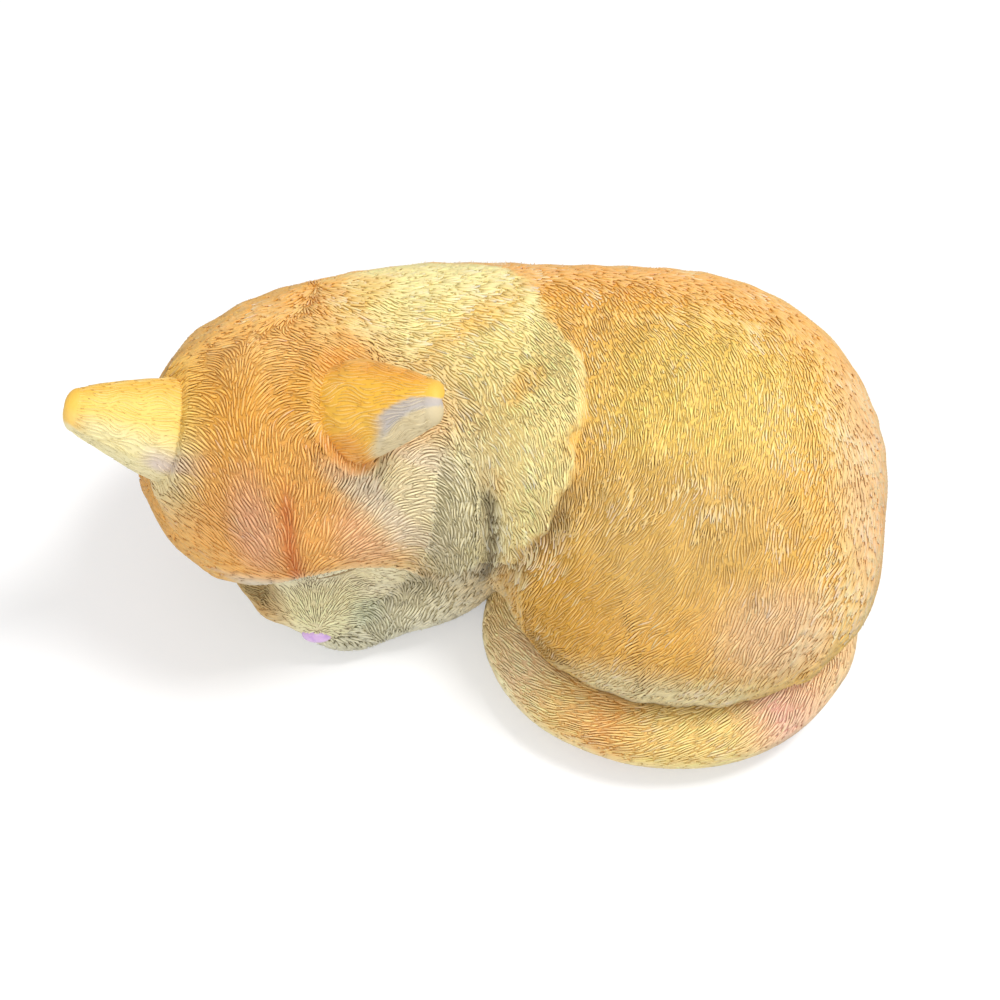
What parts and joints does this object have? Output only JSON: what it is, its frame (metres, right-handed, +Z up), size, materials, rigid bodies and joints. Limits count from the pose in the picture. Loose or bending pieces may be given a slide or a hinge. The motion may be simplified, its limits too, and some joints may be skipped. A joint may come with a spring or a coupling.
{
  "type": "cat figurine",
  "caption": "Free-standing ornament of a ginger cat asleep in a curl, cast in hollow resin sections with carved fur.",
  "frame": {"origin": "on the table, below the middle of the cat's outline", "axes": "+Z up, +X from the head towards the haunch, +Y away from the side the cat is seen from"},
  "size_m": [0.2496, 0.1642, 0.1129],
  "materials": {
    "ginger_fur": "painted cast resin, carved strands, satin",
    "forehead_fur": "painted cast resin, carved strands, satin",
    "cream_fur": "painted cast resin, deep carved strands, satin",
    "ear_paint": "smooth painted cast resin, satin",
    "nose_paint": "gloss lacquer",
    "plate_board": "fibreboard, sealed",
    "foot_rubber": "matte",
    "dowel_wood": "plain beech",
    "pin_steel": "cut wire"
  },
  "bodies": {
    "root": {"body_shell": "ginger_fur", "tail": "ginger_fur", "head_shell": "forehead_fur", "left_ear": "ear_paint", "right_ear": "ear_paint", "nose_pad": "nose_paint", "left_foreleg": "cream_fur", "right_foreleg": "cream_fur", "base_plate": "plate_board", "foot_front": "foot_rubber", "foot_right": "foot_rubber", "foot_rear": "foot_rubber", "foot_left": "foot_rubber", "neck_dowel_left": "dowel_wood", "neck_dowel_right": "dowel_wood", "left_ear_pin": "pin_steel", "right_ear_pin": "pin_steel", "tail_root_pin": "pin_steel", "tail_tip_pin": "pin_steel", "left_foreleg_pin": "pin_steel", "right_foreleg_pin": "pin_steel"}
  },
  "joints": []
}
